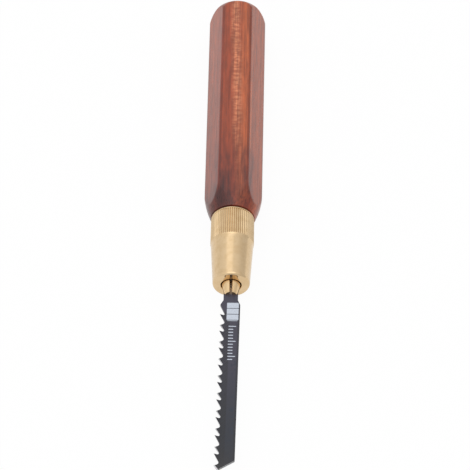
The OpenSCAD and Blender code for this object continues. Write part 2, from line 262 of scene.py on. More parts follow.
def loft(name, rings, capped=False):
    """A closed piece through rings of points. A ring of one point closes an end. Wider ends are capped, or else
    the last ring joins the first."""
    mesh = bmesh.new()
    rows = [[mesh.verts.new(p) for p in ring] for ring in rings]
    if capped:
        mesh.faces.new(rows[0])
        mesh.faces.new(rows[-1])
    elif len(rows[-1]) > 1:
        rows.append(rows[0])
    for near, far in zip(rows, rows[1:]):
        for i in range(max(len(near), len(far))):
            corners = [near[i % len(near)], near[(i + 1) % len(near)], far[(i + 1) % len(far)], far[i % len(far)]]
            mesh.faces.new(list(dict.fromkeys(corners)))
    return new_piece(name, mesh)


flat_steps = 10
edge_steps = 8
shares = spaced(0, 0.5, flat_steps)[:-1] + spaced(0.5, 1, edge_steps)[:-1]


def round_saw(radius, along, turn):
    """The place in the frame of a point at a radius from the saw's axis and an angle round it, in radians."""
    return on_saw(radius * math.cos(turn), along, radius * math.sin(turn))


def wood_ring(turned_r, along):
    """One ring of the handle, where the six-sided shape and a turned radius meet."""
    if turned_r == 0:
        return [on_saw(0, along, 0)]
    points = []
    for side in range(6):
        middle = math.radians(90 - 60 * side)
        for share, sign in [(s, 1) for s in reversed(shares[1:] + [1])] + [(s, -1) for s in shares]:
            angle, radius = six_sided(along, share)
            radius = soft_least(radius, turned_r, corner_blend) if turned_r > butt_end_r else turned_r
            points.append(round_saw(radius, along, middle + sign * angle))
    return points


butt_start = butt_dome + butt_round_len - handle_len
butt_side_r = flat_distance(butt_start) / math.cos(half_side)
shoulder_edge = flat_distance(-shoulder_len) / math.cos(half_side) - edge_ease
chord = Vector((shoulder_r - shoulder_edge, shoulder_len))
chord_middle = Vector((shoulder_r + shoulder_edge, -shoulder_len)) / 2
shoulder_centre = chord_middle + Vector((-chord.y, chord.x)).normalized() * (
    math.sqrt(shoulder_curve_r ** 2 - chord.length_squared / 4))
front_angle = math.degrees(math.asin(-(shoulder_centre.y + rim_radius) / shoulder_curve_r))
planed_steps = 36
profile = arc(0, butt_start - butt_round_len, butt_end_r, butt_dome, 270, 358, 8)
profile += arc(butt_end_r, butt_start, butt_side_r - butt_end_r, butt_round_len, 271, 360, 30)
profile += [Vector((butt_side_r + past_corners, place))
            for place in spaced(butt_start, shoulder_centre.y, planed_steps)[1:-1]]
profile += arc(shoulder_centre.x, shoulder_centre.y, shoulder_curve_r, shoulder_curve_r, 0, front_angle, 60)
profile += arc(profile[-1].x - rim_radius, -rim_radius, rim_radius, rim_radius, 20, 90, 4)
profile += [Vector(p) for p in ((hole_r + hole_edge, 0), (hole_r, -hole_edge), (hole_r, -hole_len),
                                (0, -hole_len - hole_r / drill_slope))]
handle = loft("hardwood_handle", [wood_ring(p.x, p.y) for p in profile])
smooth(handle)


def new_material(name):
    """A material, with its tree and the surface that it ends in."""
    material = bpy.data.materials.new(name)
    material.use_nodes = True
    return material, material.node_tree, material.node_tree.nodes["Principled BSDF"]


def measured(tree):
    """Places on a piece in millimetres across, along and above the saw's axis, from its object coordinates."""
    place = node(tree, "ShaderNodeTexCoord").outputs["Object"]
    return node(tree, "ShaderNodeMapping", {
        "Vector": place, "Location": (0, wood_front, -axis_height), "Scale": (1 / MM, -1 / MM, 1 / MM)}).outputs[0]


def diagonal(tree, one, other):
    """The distance over two lengths that stand square to each other."""
    return sum_up(tree, "SQRT", sum_up(tree, "MULTIPLY_ADD", one, one, product(tree, other, other)))


def surfaced(tree, surface, colour, rough, height, strength, depth):
    """Gives a surface its colour, its roughness and a fine relief of a depth in millimetres."""
    relief = node(tree, "ShaderNodeBump", {"Height": height, "Strength": strength, "Distance": depth * MM})
    for key, value in (("Base Color", colour), ("Roughness", rough), ("Normal", relief.outputs[0])):
        tree.links.new(value, surface.inputs[key])


def blended(tree, share, first, second, **settings):
    """Two colours mixed by a share."""
    return node(tree, "ShaderNodeMix", {0: share, 6: first, 7: second}, data_type="RGBA", **settings).outputs[2]


def noise(tree, place, scale, detail, dimensions="3D"):
    """Noise at a place, or at a distance where it has one dimension."""
    return node(tree, "ShaderNodeTexNoise", {
        "W" if dimensions == "1D" else "Vector": place, "Scale": scale, "Detail": detail},
        noise_dimensions=dimensions).outputs["Fac"]


def streaks(tree, place, across_scale, along_scale, detail=3.0, seed=0.0):
    """Noise drawn out along the saw, as wood fibres are, with its scales given per millimetre."""
    drawn = node(tree, "ShaderNodeMapping", {
        "Vector": place, "Location": (seed, seed, seed), "Scale": (across_scale, along_scale, across_scale)})
    return noise(tree, drawn.outputs[0], 1.0, detail)


red_brown = (0.298, 0.050, 0.0155, 1)
deep_brown = (0.226, 0.034, 0.0115, 1)
orange_brown = (0.418, 0.091, 0.026, 1)
pale_streak = (0.62, 0.215, 0.100, 1)
dark_heart = (0.090, 0.016, 0.013, 1)
shoulder_shade_colour = (0.034, 0.009, 0.010, 1)
darker_edge_colour = (0.150, 0.022, 0.011, 1)
end_grain = (0.130, 0.036, 0.020, 1)
end_grain_dark = (0.058, 0.015, 0.010, 1)
streak_middle = 2.6
streak_lean = 0.028
streak_half = 2.0
pith_left = 9.0
pith_below = 16.0
ring_waves = 3.4
ring_wander = 7.0
lacquer_ior = 1.46

wood, tree, surface = new_material("lacquered_hardwood")
place = measured(tree)
across, along, above = separated(tree, place)
broad = streaks(tree, place, 0.30, 0.012, seed=3)
fibres = streaks(tree, place, 1.6, 0.03, detail=5, seed=11)
pores = streaks(tree, place, 5.0, 0.25, detail=2, seed=29)
wander = streaks(tree, place, 0.02, 0.06, detail=2, seed=41)
flame = streaks(tree, place, 0.35, 0.75, detail=3, seed=53)
figure = streaks(tree, place, 0.55, 0.11, detail=4, seed=67)
colour = blended(tree, ranged(tree, broad, 0.36, 0.60), deep_brown, red_brown)

# Warmer wood on the right of the top flat and down both sides
warm = product(tree, ranged(tree, across, 0.0, 4.0), ranged(tree, above, 8.0, 10.0))
warm = sum_up(tree, "MAXIMUM", warm, ranged(tree, across, 6.5, 9.0, 0.0, 0.5))
warm = sum_up(tree, "MAXIMUM", warm, ranged(tree, across, -6.5, -9.0, 0.0, 0.22))
warm = product(tree, warm, ranged(tree, fibres, 0.35, 0.6, 0.55, 1.0))
colour = blended(tree, warm, colour, orange_brown)

# A pale streak that runs the length of the handle and leans to one side
line = sum_up(tree, "MULTIPLY_ADD", along, -streak_lean, across)
line = sum_up(tree, "SUBTRACT", line, streak_middle)
line = sum_up(tree, "MULTIPLY_ADD", sum_up(tree, "SUBTRACT", wander, 0.5), 2.0, line)
streak = product(tree, ranged(tree, sum_up(tree, "ABSOLUTE", line), streak_half * 1.6, 0.0),
                 ranged(tree, along, -12, -60, 0.12, 1.0), ranged(tree, flame, 0.40, 0.62, 0.35, 1.0),
                 ranged(tree, fibres, 0.3, 0.55, 0.6, 1.0))
colour = blended(tree, streak, colour, pale_streak)

# Dark heartwood from the shoulder backwards, and painted shade that darkens the left of the shoulder
slanted = sum_up(tree, "SUBTRACT", along, across)
heart = product(tree, ranged(tree, slanted, -46, -4), ranged(tree, broad, 0.30, 0.52, 0.6, 1.0),
                ranged(tree, across, 7.0, -4.0, 0.38, 1.0))
dark_side = product(tree, ranged(tree, along, -36, -26), ranged(tree, across, 2.4, 4.0, 0.0, 0.8))
heart = sum_up(tree, "MAXIMUM", heart, dark_side)
uppermost = sum_up(tree, "MAXIMUM", ranged(tree, above, 5.5, 9.0, 0.2, 1.0),
                   ranged(tree, across, -6.0, -8.0, 0.0, 0.45))
heart = product(tree, heart, uppermost, ranged(tree, figure, 0.34, 0.66, 1.10, 0.76),
                ranged(tree, fibres, 0.35, 0.6, 1.0, 0.80))
colour = blended(tree, heart, colour, dark_heart)
# Painted shade: a dark patch on the left of the shoulder, strongest near the wood's front
shoulder_shade_mask = product(tree, ranged(tree, along, -18, -4), ranged(tree, across, 1.0, -3.5, 0.0, 0.6))
colour = blended(tree, shoulder_shade_mask, colour, shoulder_shade_colour)

# The long edges are darker
radius = diagonal(tree, across, above)
sixth = sum_up(tree, "DIVIDE", sum_up(tree, "ARCTAN2", across, above), math.tau / 6)
off_middle = sum_up(tree, "SUBTRACT", sum_up(tree, "FRACT", sum_up(tree, "ADD", sixth, 0.5)), 0.5)
edge = product(tree, ranged(tree, sum_up(tree, "ABSOLUTE", off_middle), 0.425, 0.465),
               ranged(tree, radius, 11.3, 12.2, 0.0, 0.6))
colour = blended(tree, edge, colour, darker_edge_colour)

# End grain, with the rings round a pith that lies outside the handle
facing = separated(tree, node(tree, "ShaderNodeTexCoord").outputs["Normal"])["Y"]
at_end = ranged(tree, facing, 0.45, 0.78)
from_pith = diagonal(tree, sum_up(tree, "ADD", across, pith_left), sum_up(tree, "ADD", above, pith_below))
rings = sum_up(tree, "SINE", sum_up(tree, "MULTIPLY_ADD", from_pith, ring_waves, product(tree, figure, ring_wander)))
ends = blended(tree, ranged(tree, rings, -0.9, 0.7), end_grain, end_grain_dark)
colour = blended(tree, at_end, colour, ends)

# Fibres, pores and figure darken and lighten it all
shade = product(tree, ranged(tree, fibres, 0.35, 0.65, 0.84, 1.12), ranged(tree, pores, 0.3, 0.45, 0.86, 1.0),
                ranged(tree, figure, 0.36, 0.64, 0.86, 1.12))
grey = node(tree, "ShaderNodeCombineColor", {0: shade, 1: shade, 2: shade}).outputs[0]
colour = blended(tree, 1.0, colour, grey, blend_type="MULTIPLY")
rough = sum_up(tree, "MULTIPLY_ADD", at_end, 0.3, ranged(tree, fibres, 0.3, 0.7, 0.26, 0.36))
surfaced(tree, surface, colour, rough, height=pores, strength=0.12, depth=0.05)
surface.inputs["IOR"].default_value = lacquer_ior
surface.inputs["Sheen Weight"].default_value = 0.3
surface.inputs["Sheen Roughness"].default_value = 0.35
handle.data.materials.append(wood)
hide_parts("handle")
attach(handle, "handle")


# Chuck body: a brass turning whose grooved stem is glued into the wood. Its flange seats on the wood's front,
# and in front of that come the thread for the nut and a tapered socket, bored for the collet.
stem_r = 5.5
stem_len = 42
groove_w = 1.6
groove_depth = 0.4
groove_step = 9
groove_count = 4
flange_r = 7.6
flange_t = 2.0
thread_r = 7.0
thread_pitch = 1.25
thread_depth = 0.613 * thread_pitch
thread_root_r = thread_r - thread_depth
thread_end = 14.2
thread_rows = 130
body_nose = 16.0
nose_chamfer = 0.45
socket_floor = -2.0
socket_r = 4.52
socket_taper_start = 9.5
socket_mouth_r = 5.434
turned_edge = 0.12


def softened(outline, reach, steps=3):
    """The outline with each corner but its two ends rounded, from the given reach before it to the same after it."""
    outline = [Vector(p) for p in outline]
    points = [outline[0]]
    for before, corner, after in zip(outline, outline[1:], outline[2:]):
        back, on = before - corner, after - corner
        here = min(reach, back.length * 0.45, on.length * 0.45)
        start, end = corner + back.normalized() * here, corner + on.normalized() * here
        for t in spaced(0, 1, steps):
            points.append(start * (1 - t) ** 2 + corner * 2 * t * (1 - t) + end * t ** 2)
    return points + [outline[-1]]


def turned(name, outline, angles):
    """A turned piece from its outline of radius and place, with a corner at each of the angles, in radians."""
    return loft(name, [[round_saw(p.x, p.y, t) for t in angles] if p.x > 0 else [on_saw(0, p.y, 0)] for p in outline])


def new_tree(name, sizes, **others):
    """A tree of geometry nodes with a shape and a finish to work with. Its sizes are named inputs, and the other
    inputs come with their kinds."""
    tree = bpy.data.node_groups.new(name, "GeometryNodeTree")
    tree.is_modifier = True
    tree.interface.new_socket("Shape", in_out="OUTPUT", socket_type="NodeSocketGeometry")
    for label, kind in {"Shape": "Geometry", "Finish": "Material", **dict.fromkeys(sizes, "Float"), **others}.items():
        tree.interface.new_socket(label, in_out="INPUT", socket_type="NodeSocket" + kind)
    return tree, node(tree, "NodeGroupInput").outputs


def end_tree(tree, shape, finish):
    """Ends a tree in plain geometry with its material."""
    plain = node(tree, "GeometryNodeRealizeInstances", {0: shape}).outputs[0]
    dressed = node(tree, "GeometryNodeSetMaterial", {"Geometry": plain, "Material": finish}).outputs[0]
    node(tree, "NodeGroupOutput", {0: dressed})


def worked(piece, tree, finish, sizes):
    """Puts a piece through a tree with the sizes given, and keeps the result as its plain mesh."""
    modifier = piece.modifiers.new(tree.name, "NODES")
    modifier.node_group = tree
    for item in tree.interface.items_tree:
        if item.in_out == "INPUT" and item.name in sizes:
            modifier[item.identifier] = sizes[item.name]
        elif item.in_out == "INPUT" and item.socket_type == "NodeSocketMaterial":
            modifier[item.identifier] = finish
    shown = piece.evaluated_get(bpy.context.evaluated_depsgraph_get())
    plain = bpy.data.meshes.new_from_object(shown)
    piece.modifiers.remove(modifier)
    piece.data = plain


def from_axis(tree, inputs):
    """The parts of a point's place about the saw's axis: its position, height, place along, radius and angle."""
    parts = separated(tree, node(tree, "GeometryNodeInputPosition").outputs[0])
    above = sum_up(tree, "SUBTRACT", parts["Z"], inputs["Axis height"])
    along = sum_up(tree, "SUBTRACT", inputs["Wood front"], parts["Y"])
    return parts, above, along, diagonal(tree, parts["X"], above), sum_up(tree, "ARCTAN2", above, parts["X"])


def at_radius(tree, shape, inputs, parts, above, radius, new_radius):
    """Moves each point straight in or out to its new radius."""
    share = sum_up(tree, "DIVIDE", new_radius, radius)
    place = node(tree, "ShaderNodeCombineXYZ", {
        0: product(tree, parts["X"], share), 1: parts["Y"],
        2: sum_up(tree, "MULTIPLY_ADD", above, share, inputs["Axis height"])}).outputs[0]
    return node(tree, "GeometryNodeSetPosition", {"Geometry": shape, "Position": place}).outputs[0]


# The thread is cut as a true helix: a ridge once a pitch, faded in at the flange and out at the nose
tree, sizes = new_tree("cut_thread", (
    "Axis height", "Wood front", "Crest radius", "Root radius", "Pitch", "Start", "End"))
fade_in = 0.4 * MM
fade_out = 0.9 * MM
root_slack = 0.01 * MM
parts, above, along, radius, angle = from_axis(tree, sizes)
turns = sum_up(tree, "DIVIDE", sum_up(tree, "SUBTRACT", along, sizes["Start"]), sizes["Pitch"])
turns = sum_up(tree, "SUBTRACT", turns, sum_up(tree, "DIVIDE", angle, math.tau))
ridge = sum_up(tree, "ABSOLUTE", sum_up(tree, "SUBTRACT", sum_up(tree, "FRACT", turns), 0.5))
rise = ranged(tree, ridge, 0.375, 0.0625, curve="LINEAR")
faded = sum_up(tree, "MINIMUM",
               ranged(tree, along, sizes["Start"], sum_up(tree, "ADD", sizes["Start"], fade_in)),
               ranged(tree, along, sizes["End"], sum_up(tree, "SUBTRACT", sizes["End"], fade_out)))
depth = sum_up(tree, "SUBTRACT", sizes["Crest radius"], sizes["Root radius"])
wanted = sum_up(tree, "MULTIPLY_ADD", product(tree, rise, faded), depth, sizes["Root radius"])
outer = sum_up(tree, "GREATER_THAN", radius, sum_up(tree, "SUBTRACT", sizes["Root radius"], root_slack))
threaded = product(tree, outer, sum_up(tree, "GREATER_THAN", along, sizes["Start"]),
                   sum_up(tree, "LESS_THAN", along, sizes["End"]))
chosen = node(tree, "ShaderNodeMix", {0: threaded, 2: radius, 3: wanted}, data_type="FLOAT").outputs[0]
end_tree(tree, at_radius(tree, sizes["Shape"], sizes, parts, above, radius, chosen), sizes["Finish"])
cut_thread = tree

# The marks that a lathe leaves are shared by every turned piece of brass
tree = bpy.data.node_groups.new("turning_marks", "ShaderNodeTree")
for label, way, kind in (("Place", "INPUT", "Vector"), ("Spacing", "INPUT", "Float"),
                         ("Height", "OUTPUT", "Float"), ("Dulled", "OUTPUT", "Float")):
    tree.interface.new_socket(label, in_out=way, socket_type="NodeSocket" + kind)
sizes = node(tree, "NodeGroupInput").outputs
along = separated(tree, sizes["Place"])["Y"]
lines = noise(tree, sum_up(tree, "DIVIDE", along, sizes["Spacing"]), 1.0, 2.0, "1D")
handled = noise(tree, sizes["Place"], 0.35, 4.0)
node(tree, "NodeGroupOutput", {"Height": lines, "Dulled": ranged(tree, handled, 0.35, 0.7)})
turning_marks = tree

polish_blend = 0.5
polish_share = 0.4
unpolished = 1000.0


def brass_finish(name, bright, tarnished, spacing, depth, smoothest, roughest, polished_from=unpolished):
    """Turned brass: lathe lines at a spacing, a thin tarnish in patches, and a polish in front of a place."""
    finish, tree, surface = new_material(name)
    place = measured(tree)
    marks = node(tree, "ShaderNodeGroup", {"Place": place, "Spacing": spacing}, node_tree=turning_marks).outputs
    colour = blended(tree, marks["Dulled"], bright, tarnished)
    rough = sum_up(tree, "MULTIPLY_ADD", marks["Dulled"], roughest - smoothest, smoothest)
    along = separated(tree, place)["Y"]
    polish = ranged(tree, along, polished_from, polished_from + polish_blend, 1.0, polish_share)
    surfaced(tree, surface, colour, product(tree, rough, polish), marks["Height"], 1.0, depth)
    surface.inputs["Metallic"].default_value = 1.0
    return finish


stem_brass = brass_finish("turned_brass", bright=(0.70, 0.51, 0.30, 1), tarnished=(0.60, 0.42, 0.22, 1),
                          spacing=0.35, depth=0.004, smoothest=0.24, roughest=0.38)
stem_root_r = stem_r - groove_depth
outline = [(0, -stem_len), (stem_root_r, -stem_len), (stem_r, groove_depth - stem_len)]
for i in range(groove_count, 0, -1):
    outline += [(r, side * groove_w - i * groove_step)
                for r, side in ((stem_r, -0.5), (stem_root_r, -0.5), (stem_root_r, 0.5), (stem_r, 0.5))]
outline += [(stem_r, 0), (flange_r, 0), (flange_r, flange_t), (thread_root_r, flange_t)]
outline = softened(outline, turned_edge)
outline += [Vector((thread_root_r, place)) for place in spaced(flange_t, thread_end, thread_rows)[1:-1]]
outline += softened([
    (thread_root_r, thread_end), (thread_root_r, body_nose - nose_chamfer), (thread_root_r - nose_chamfer, body_nose),
    (socket_mouth_r, body_nose), (socket_r, socket_taper_start), (socket_r, socket_floor), (0, socket_floor)],
    turned_edge)
chuck_body = turned("brass_chuck_body", outline, spaced(0, math.tau, 144)[:-1])
worked(chuck_body, cut_thread, stem_brass, {
    "Axis height": axis_height * MM, "Wood front": wood_front * MM, "Crest radius": thread_r * MM,
    "Root radius": thread_root_r * MM, "Pitch": thread_pitch * MM, "Start": flange_t * MM, "End": thread_end * MM})
smooth(chuck_body)
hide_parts("chuck_body")
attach(chuck_body, "handle")


# Collet: one turning of hard brass, bored through and sawn crosswise from its tips into four springy jaws.
# The unslit ring at the rear holds the jaws together, and they taper at the front to grip the blade.
collet_rear = 2.0
slit_root = 6.0
tail_r = 4.4
head_r = 5.7
taper_start = 9.5
taper_slope = math.tan(math.radians(8))
head_start = taper_start + (head_r - tail_r) / taper_slope
head_front = 29.5
nose_r = 3.9
nose_slope = math.tan(math.radians(30))
nose_start = head_front + (head_r - nose_r) / nose_slope
mouth_r = 3.9
mouth_place = 36.0
collet_tip = 41.0
tip_r = 2.7
tip_chamfer = 0.25
bore_r = 1.2
slit_half = 0.55
slot_half = 0.65
sawn_edge = 0.13
jaw_edge = 0.2

collet_brass = brass_finish("hard_brass", bright=(0.80, 0.58, 0.33, 1), tarnished=(0.71, 0.50, 0.275, 1),
                            spacing=0.25, depth=0.003, smoothest=0.16, roughest=0.28)
outline = [(bore_r, collet_rear), (tail_r - tip_chamfer, collet_rear), (tail_r, collet_rear + tip_chamfer),
           (tail_r, slit_root), (bore_r, slit_root)]
outline = softened(outline[-1:] + outline + outline[:1], sawn_edge)[1:-1]
collet_ring = turned("collet_ring", outline, spaced(0, math.tau, 96)[:-1])
smooth(collet_ring)
collet_ring.data.materials.append(collet_brass)
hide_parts("collet_base")
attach(collet_ring, "collet")

jaw_outline = softened([
    (tail_r, slit_root), (tail_r, taper_start), (head_r, head_start), (head_r, head_front), (nose_r, nose_start),
    (mouth_r, mouth_place), (tip_r, collet_tip - tip_chamfer), (tip_r - tip_chamfer, collet_tip)], jaw_edge)


def round_arc(radius, start, end, steps):
    """Points round the axis between two angles, in radians."""
    return [Vector((radius * math.cos(t), radius * math.sin(t))) for t in spaced(start, end, steps)]


def jaw_section(outer_r):
    """One quarter of the slit collet, in its own quarter, with the sawn corners just broken."""
    outside = round_arc(outer_r, math.asin(slot_half / outer_r), math.acos(slit_half / outer_r), 24)
    outside[0] += Vector((0, sawn_edge))
    outside[-1] += Vector((sawn_edge, 0))
    low = Vector((math.sqrt((outer_r - sawn_edge) ** 2 - slot_half ** 2), slot_half))
    high = Vector((slit_half, math.sqrt((outer_r - sawn_edge) ** 2 - slit_half ** 2)))
    bored = round_arc(bore_r, math.acos(slit_half / bore_r), math.asin(slot_half / bore_r), 4)
    return [low] + outside + [high] + bored


for node_name, side_x, side_z in (("jaw_upper_left", -1, 1), ("jaw_upper_right", 1, 1),
                                  ("jaw_lower_left", -1, -1), ("jaw_lower_right", 1, -1)):
    jaw = loft("collet_" + node_name, [
        [on_saw(side_x * q.x, p.y, side_z * q.y) for q in jaw_section(p.x)] for p in jaw_outline], capped=True)
    smooth(jaw)
    jaw.data.materials.append(collet_brass)
    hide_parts(node_name)
    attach(jaw, node_name)


# Chuck nut: a brass turning with fine flutes for the fingers, threaded inside, that draws down over the collet.
# In front of the grip it tapers to a rounded edge and a polished, nearly flat face with a hole for the jaws.
rim_gap = 0.4
grip_r = 9.1
rim_chamfer = 0.36
grip_end = 14.2
waist_start = 15.2
flute_count = 60
flute_depth = 0.32
flute_start = 1.2
flute_run = 0.5
flute_share = 0.8
waist_r = 8.85
front_r = 7.73
nut_front = 34.42
edge_round = 1.25
face_r = 6.8
face_fall = 0.05
nut_hole_r = 4.2
hole_chamfer = 0.2
counterbore_r = 7.9
counterbore_end = 2.6
thread_bore_r = 7.1
nut_step = 16.3
head_bore_r = 6.1
cone_rear = 29.413
cone_front = 32.704
nut_edge = 0.1
polish_reach = 0.3

# Each flute is a groove, deepest in its middle, that runs from near the rim out into the grip's chamfer
tree, sizes = new_tree("cut_flutes", (
    "Axis height", "Wood front", "Grip radius", "Depth", "Start", "End", "Run-out", "Mouth share"), Count="Int")
parts, above, along, radius, angle = from_axis(tree, sizes)
turn = sum_up(tree, "DIVIDE", product(tree, angle, sizes["Count"]), math.tau)
middle = sum_up(tree, "SUBTRACT", sum_up(tree, "FRACT", turn), 0.5)
middle = product(tree, sum_up(tree, "ABSOLUTE", middle), 2.0)
floor_share = ranged(tree, middle, sum_up(tree, "SUBTRACT", 1.0, sizes["Mouth share"]), 1.0, curve="LINEAR")
running = ranged(tree, along, sizes["End"], sum_up(tree, "ADD", sizes["End"], sizes["Run-out"]), 1.0, 0.0)
running = product(tree, running, sum_up(tree, "GREATER_THAN", along, sizes["Start"]))
cut = product(tree, floor_share, running, sizes["Depth"])
least = sum_up(tree, "MINIMUM", radius, sum_up(tree, "SUBTRACT", sizes["Grip radius"], cut))
end_tree(tree, at_radius(tree, sizes["Shape"], sizes, parts, above, radius, least), sizes["Finish"])
cut_flutes = tree

# Painted shade darkens the floors of the flutes
nut_brass = brass_finish("polished_brass", bright=(0.71, 0.525, 0.315, 1), tarnished=(0.66, 0.475, 0.27, 1),
                         spacing=0.30, depth=0.003, smoothest=0.17, roughest=0.26,
                         polished_from=nut_front - polish_reach)
flute_shade_colour = (0.30, 0.17, 0.07, 1)
tree = nut_brass.node_tree
surface = tree.nodes["Principled BSDF"]
across, along, above = separated(tree, measured(tree))
radius = diagonal(tree, across, above)
# Painted shade, deepest in the floors of the flutes and ending at the grip's chamfer
flute_shade = product(tree, ranged(tree, radius, grip_r - 0.28, grip_r - 0.08, 0.25, 0.0),
                ranged(tree, along, grip_end + 0.2, grip_end - 0.1))
colour = blended(tree, flute_shade, surface.inputs["Base Color"].links[0].from_socket, flute_shade_colour)
tree.links.new(colour, surface.inputs["Base Color"])

outline = softened([
    (counterbore_r, rim_gap), (grip_r - rim_chamfer, rim_gap), (grip_r, rim_gap + rim_chamfer),
    (grip_r, flute_start - 0.1), (grip_r, flute_start + 0.1), (grip_r, grip_end),
    (waist_r, waist_start)], nut_edge)[1:-1]
outline += [Vector(p) for p in zip(spaced(grip_r, waist_r, 6), spaced(grip_end, waist_start, 6))][1:]
outline += [Vector(p) for p in zip(spaced(waist_r, front_r, 12), spaced(waist_start, nut_front, 12))][1:-1]
outline += arc(face_r, nut_front, front_r - face_r, edge_round, 0, 85, 20)
outline += [Vector((outline[-1].x - d, outline[-1].y + d * face_fall)) for d in (0.1, 0.6, 1.2)]
face_front = outline[-1].y + (outline[-1].x - nut_hole_r - hole_chamfer) * face_fall
outline += softened([
    outline[-1], (nut_hole_r + hole_chamfer, face_front), (nut_hole_r, face_front - hole_chamfer),
    (nut_hole_r, cone_front), (head_bore_r, cone_rear), (head_bore_r, nut_step), (thread_bore_r, nut_step),
    (thread_bore_r, counterbore_end + counterbore_r - thread_bore_r), (counterbore_r, counterbore_end),
    (counterbore_r, rim_gap), (grip_r - rim_chamfer, rim_gap)], nut_edge)[1:-1]
flute_offsets = (-1, -0.8, -0.4, -0.1, 0.1, 0.4, 0.8)
nut_angles = [math.tau / flute_count * (i + 0.5 * offset) for i in range(flute_count) for offset in flute_offsets]
nut = turned("brass_chuck_nut", outline, nut_angles)
worked(nut, cut_flutes, nut_brass, {
    "Axis height": axis_height * MM, "Wood front": wood_front * MM, "Grip radius": grip_r * MM,
    "Depth": flute_depth * MM, "Start": flute_start * MM, "End": grip_end * MM, "Run-out": flute_run * MM,
    "Count": flute_count, "Mouth share": flute_share})
smooth(nut)
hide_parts("chuck_nut")
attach(nut, "nut")


# Saw blade: punched from carbon steel strip, ground along its teeth, and blackened when it was hardened.
# Its coarse teeth are set to left and right in turn, and a lugged shank at its rear locks into the collet.
blade_t = 1.25
blade_bevel = 0.07
shank_end = 25.0
nub_w = 5.6
nub_len = 3.0
nub_chamfer = 0.6
lug_w = 8.0
lug_len = 3.4
lug_slope = 0.9
neck_w = 5.9
neck_end = 43.8
blade_shoulder = 2.4
tooth_side = 4.12
back_side = 3.95
blade_lean = math.radians(0.69)
first_tooth = 51.36
tooth_count = 18
tooth_pitch = 4.2
tooth_depth = 1.95
gullet_r = 0.65
tooth_rake = math.radians(8)
tooth_set = 0.34
tip_t = 0.09
back_grind = 0.35
end_cut_back = 1.5
end_cut = math.radians(33.2)
gullet_line = tooth_depth - tooth_side
gullet_steps = 12


def gullet_centre(i):
    """The middle of the round gullet in front of a tooth's cutting face."""
    x = gullet_line - gullet_r
    tip_along = first_tooth + i * tooth_pitch
    return Vector((x, tip_along + (x + tooth_side) * math.tan(tooth_rake) - gullet_r / math.cos(tooth_rake)))


def round_gullet(i, start, end):
    """Points round a gullet between two angles, in radians."""
    return [gullet_centre(i) + gullet_r * Vector((math.cos(t), math.sin(t))) for t in spaced(start, end, gullet_steps)]


def gullet_behind(p, i):
    """The gullet's stretch from where a straight back from p runs into it, to its deepest point."""
    way = gullet_centre(i) - p
    start = math.atan2(-way.y, -way.x) + math.acos(gullet_r / way.length)
    return [p.copy()] + round_gullet(i, start, 0)


def tip_at(i, grind=0.0):
    """A tooth's tip, or where it lies on the face that the grinding of its back has cut away."""
    tip = Vector((-tooth_side, first_tooth + i * tooth_pitch))
    face_way = Vector((math.cos(tooth_rake), math.sin(tooth_rake)))
    back_way = (gullet_behind(tip, i + 1)[1] - tip).normalized()
    return tip + face_way * grind / abs(face_way.x * back_way.y - face_way.y * back_way.x)


def tooth_outline(i, grind=0.0):
    """From the deepest point behind a tooth's face, up the face, over the tip and down into the next gullet."""
    return round_gullet(i, 0, math.pi / 2 + tooth_rake) + gullet_behind(tip_at(i, grind), i + 1)


def crossing(p, u, q, v):
    """Where the line from p along u crosses the line from q along v."""
    return p + u * ((q.x - p.x) * v.y - (q.y - p.y) * v.x) / (u.x * v.y - u.y * v.x)


def leaning(p):
    """The toothed part turns a little about the middle of the neck's end."""
    along = p.y - neck_end
    return Vector((p.x * math.cos(blade_lean) - along * math.sin(blade_lean),
                   neck_end + p.x * math.sin(blade_lean) + along * math.cos(blade_lean)))


def inset(path):
    """The path moved into the blade by the width of the bevel. The blade lies to the right of the path's way."""
    ways = [(b - a).normalized() for a, b in zip(path, path[1:])]
    normals = [Vector((w.y, -w.x)) for w in ways]
    normals = [normals[0]] + normals + [normals[-1]]
    points = []
    for p, before, after in zip(path, normals, normals[1:]):
        middle = (before + after).normalized()
        points.append(p + middle * blade_bevel / max(0.5, middle.dot(before)))
    points[0], points[-1] = (path[i] + Vector((blade_bevel, 0)) for i in (0, -1))
    return points


def bent(above, share, side):
    """Height of a point of a tooth, which is bent to one side and ground thinner on the other towards its tip."""
    return above * (1 - (1 - tip_t / blade_t) * share) + side * (tooth_set + (blade_t - tip_t) / 2) * share


def blade_piece(name, upper, lower, caps, placed, brightness=(1,)):
    """A piece of the blade between the paths of its upper and lower face, which have a bevel between them. Each cap
    gives the paths' points that close a stretch of the faces. The walls past the first tip are marked as ground."""
    mesh = bmesh.new()
    ground = mesh.faces.layers.float.new("ground")
    made = {}

    def corner(p, above):
        key = (round(p.x, 4), round(p.y, 4), above)
        if key not in made:
            made[key] = mesh.verts.new(placed(p, above, min(1, max(0, (gullet_line - p.x) / tooth_depth))))
        return made[key]

    half = blade_t / 2
    rows = [(inset(upper), half), (upper, half - blade_bevel), (lower, blade_bevel - half), (inset(lower), -half)]
    for start, end, extra in caps:
        mesh.faces.new([corner(p, half) for p in rows[0][0][start:end] + extra])
        mesh.faces.new([corner(p, -half) for p in reversed(rows[3][0][start:end] + extra)])
    for (above, high), (below, low) in zip(rows, rows[1:]):
        for i in range(len(above) - 1):
            face = mesh.faces.new((corner(above[i], high), corner(above[i + 1], high),
                                   corner(below[i + 1], low), corner(below[i], low)))
            past_tip = i - gullet_steps - 1
            face[ground] = brightness[past_tip] if above is upper and 0 <= past_tip < len(brightness) else 0
    bmesh.ops.triangulate(mesh, faces=[f for f in mesh.faces if len(f.verts) > 4])
    return new_piece(name, mesh)


